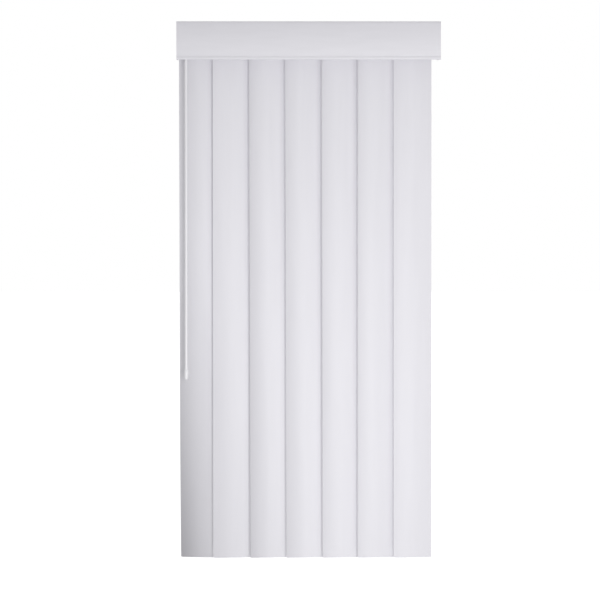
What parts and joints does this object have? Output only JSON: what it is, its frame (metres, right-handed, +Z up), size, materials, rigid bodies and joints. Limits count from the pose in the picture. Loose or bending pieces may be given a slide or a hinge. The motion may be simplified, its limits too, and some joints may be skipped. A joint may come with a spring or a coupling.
{
  "type": "vertical blind",
  "caption": "White vertical window blind: bowed vanes hang from geared carriers in a headrail behind a boxed valance, and a hanging wand draws and tilts them.",
  "frame": {"origin": "middle of the four wall screws, on the wall plane at the back of the brackets", "axes": "+X to the viewer's right along the rail, +Y into the wall, +Z up"},
  "size_m": [0.603, 0.1222, 1.232],
  "materials": {
    "rail": "white painted extrusion",
    "cap_plastic": "moulded, satin",
    "zinc_steel": "zinc plated",
    "screw_steel": "zinc plated",
    "spring_clip": "moulded",
    "valance_pvc": "smooth extrusion",
    "insert_pvc": "smooth, satin",
    "clear_plastic": "clear moulding",
    "rod_aluminium": "mill finish",
    "carrier_plastic": "moulded acetal",
    "gear_plastic": "moulded acetal",
    "vane_pvc": "smooth, satin",
    "link_steel": "spring steel strip",
    "wand_plastic": "gloss white",
    "pin_steel": "turned"
  },
  "bodies": {
    "frame": {"headrail": "rail", "end_cap_left": "cap_plastic", "end_cap_right": "cap_plastic", "end_cap_screws": "screw_steel", "wall_bracket_left": "zinc_steel", "wall_bracket_right": "zinc_steel", "rail_clip_left": "spring_clip", "rail_clip_right": "spring_clip", "clip_screws": "screw_steel", "valance_channel": "valance_pvc", "valance_insert": "insert_pvc", "valance_return_left": "valance_pvc", "valance_return_right": "valance_pvc", "return_inserts": "insert_pvc", "corner_key_left": "clear_plastic", "corner_key_right": "clear_plastic", "valance_clip_left": "clear_plastic", "valance_clip_right": "clear_plastic", "carrier_7": "carrier_plastic", "link_7": "link_steel"},
    "rod": {"tilt_rod": "rod_aluminium"},
    "truck_1": {"carrier_1": "carrier_plastic", "wand_arm": "carrier_plastic"},
    "truck_2": {"carrier_2": "carrier_plastic", "link_2": "link_steel"},
    "truck_3": {"carrier_3": "carrier_plastic", "link_3": "link_steel"},
    "truck_4": {"carrier_4": "carrier_plastic", "link_4": "link_steel"},
    "truck_5": {"carrier_5": "carrier_plastic", "link_5": "link_steel"},
    "truck_6": {"carrier_6": "carrier_plastic", "link_6": "link_steel"},
    "worm_shaft_1": {"worm_1": "gear_plastic"},
    "hanger_1": {"stem_1": "gear_plastic", "vane_1": "vane_pvc"},
    "worm_shaft_2": {"worm_2": "gear_plastic"},
    "hanger_2": {"stem_2": "gear_plastic", "vane_2": "vane_pvc"},
    "worm_shaft_3": {"worm_3": "gear_plastic"},
    "hanger_3": {"stem_3": "gear_plastic", "vane_3": "vane_pvc"},
    "worm_shaft_4": {"worm_4": "gear_plastic"},
    "hanger_4": {"stem_4": "gear_plastic", "vane_4": "vane_pvc"},
    "worm_shaft_5": {"worm_5": "gear_plastic"},
    "hanger_5": {"stem_5": "gear_plastic", "vane_5": "vane_pvc"},
    "worm_shaft_6": {"worm_6": "gear_plastic"},
    "hanger_6": {"stem_6": "gear_plastic", "vane_6": "vane_pvc"},
    "worm_shaft_7": {"worm_7": "gear_plastic"},
    "hanger_7": {"stem_7": "gear_plastic", "vane_7": "vane_pvc"},
    "spindle": {"wand_spindle": "wand_plastic", "wand_pin": "pin_steel"},
    "wand": {"wand_head": "wand_plastic", "wand_rod": "wand_plastic", "wand_grip": "wand_plastic"}
  },
  "joints": [
    {"name": "traverse", "type": "slide", "parent": "frame", "child": "truck_1", "axis": [1, 0, 0], "range_m": [0, 0.35]},
    {"name": "traverse_2", "type": "slide", "parent": "frame", "child": "truck_2", "axis": [1, 0, 0], "range_m": [0, 0.315]},
    {"name": "traverse_3", "type": "slide", "parent": "frame", "child": "truck_3", "axis": [1, 0, 0], "range_m": [0, 0.252]},
    {"name": "traverse_4", "type": "slide", "parent": "frame", "child": "truck_4", "axis": [1, 0, 0], "range_m": [0, 0.189]},
    {"name": "traverse_5", "type": "slide", "parent": "frame", "child": "truck_5", "axis": [1, 0, 0], "range_m": [0, 0.126]},
    {"name": "traverse_6", "type": "slide", "parent": "frame", "child": "truck_6", "axis": [1, 0, 0], "range_m": [0, 0.063]},
    {"name": "tilt", "type": "hinge", "parent": "truck_1", "child": "hanger_1", "pos_m": [-0.252, -0.06, -0.0032], "axis": [0, 0, 1], "range_deg": [0, 162]},
    {"name": "worm_turn_1", "type": "hinge", "parent": "truck_1", "child": "worm_shaft_1", "pos_m": [-0.252, -0.051, 0.00225], "axis": [1, 0, 0], "range_deg": [0, 1620]},
    {"name": "tilt_2", "type": "hinge", "parent": "truck_2", "child": "hanger_2", "pos_m": [-0.175, -0.06, -0.0032], "axis": [0, 0, 1], "range_deg": [0, 162]},
    {"name": "worm_turn_2", "type": "hinge", "parent": "truck_2", "child": "worm_shaft_2", "pos_m": [-0.175, -0.051, 0.00225], "axis": [1, 0, 0], "range_deg": [0, 1620]},
    {"name": "tilt_3", "type": "hinge", "parent": "truck_3", "child": "hanger_3", "pos_m": [-0.092, -0.06, -0.0032], "axis": [0, 0, 1], "range_deg": [0, 162]},
    {"name": "worm_turn_3", "type": "hinge", "parent": "truck_3", "child": "worm_shaft_3", "pos_m": [-0.092, -0.051, 0.00225], "axis": [1, 0, 0], "range_deg": [0, 1620]},
    {"name": "tilt_4", "type": "hinge", "parent": "truck_4", "child": "hanger_4", "pos_m": [-0.009, -0.06, -0.0032], "axis": [0, 0, 1], "range_deg": [0, 162]},
    {"name": "worm_turn_4", "type": "hinge", "parent": "truck_4", "child": "worm_shaft_4", "pos_m": [-0.009, -0.051, 0.00225], "axis": [1, 0, 0], "range_deg": [0, 1620]},
    {"name": "tilt_5", "type": "hinge", "parent": "truck_5", "child": "hanger_5", "pos_m": [0.074, -0.06, -0.0032], "axis": [0, 0, 1], "range_deg": [0, 162]},
    {"name": "worm_turn_5", "type": "hinge", "parent": "truck_5", "child": "worm_shaft_5", "pos_m": [0.074, -0.051, 0.00225], "axis": [1, 0, 0], "range_deg": [0, 1620]},
    {"name": "tilt_6", "type": "hinge", "parent": "truck_6", "child": "hanger_6", "pos_m": [0.157, -0.06, -0.0032], "axis": [0, 0, 1], "range_deg": [0, 162]},
    {"name": "worm_turn_6", "type": "hinge", "parent": "truck_6", "child": "worm_shaft_6", "pos_m": [0.157, -0.051, 0.00225], "axis": [1, 0, 0], "range_deg": [0, 1620]},
    {"name": "tilt_7", "type": "hinge", "parent": "frame", "child": "hanger_7", "pos_m": [0.24, -0.06, -0.0032], "axis": [0, 0, 1], "range_deg": [0, 162]},
    {"name": "worm_turn_7", "type": "hinge", "parent": "frame", "child": "worm_shaft_7", "pos_m": [0.24, -0.051, 0.00225], "axis": [1, 0, 0], "range_deg": [0, 1620]},
    {"name": "rod_turn", "type": "hinge", "parent": "frame", "child": "rod", "pos_m": [0, -0.051, 0.00225], "axis": [1, 0, 0], "range_deg": [0, 1620]},
    {"name": "spindle_turn", "type": "hinge", "parent": "truck_1", "child": "spindle", "pos_m": [-0.28, -0.11, -0.0218], "axis": [0, 0, 1], "range_deg": [0, 1620]},
    {"name": "wand_swing", "type": "hinge", "parent": "spindle", "child": "wand", "pos_m": [-0.28, -0.11, -0.0332], "axis": [0, 1, 0], "range_deg": [-25, 25]}
  ],
  "couplings": [
    {"joint": "traverse_2", "follows": "traverse", "ratio": 0.9},
    {"joint": "traverse_3", "follows": "traverse", "ratio": 0.72},
    {"joint": "traverse_4", "follows": "traverse", "ratio": 0.54},
    {"joint": "traverse_5", "follows": "traverse", "ratio": 0.36},
    {"joint": "traverse_6", "follows": "traverse", "ratio": 0.18},
    {"joint": "worm_turn_1", "follows": "tilt", "ratio": 10},
    {"joint": "tilt_2", "follows": "tilt", "ratio": 1},
    {"joint": "worm_turn_2", "follows": "tilt", "ratio": 10},
    {"joint": "tilt_3", "follows": "tilt", "ratio": 1},
    {"joint": "worm_turn_3", "follows": "tilt", "ratio": 10},
    {"joint": "tilt_4", "follows": "tilt", "ratio": 1},
    {"joint": "worm_turn_4", "follows": "tilt", "ratio": 10},
    {"joint": "tilt_5", "follows": "tilt", "ratio": 1},
    {"joint": "worm_turn_5", "follows": "tilt", "ratio": 10},
    {"joint": "tilt_6", "follows": "tilt", "ratio": 1},
    {"joint": "worm_turn_6", "follows": "tilt", "ratio": 10},
    {"joint": "tilt_7", "follows": "tilt", "ratio": 1},
    {"joint": "worm_turn_7", "follows": "tilt", "ratio": 10},
    {"joint": "rod_turn", "follows": "tilt", "ratio": 10},
    {"joint": "spindle_turn", "follows": "tilt", "ratio": 10}
  ]
}
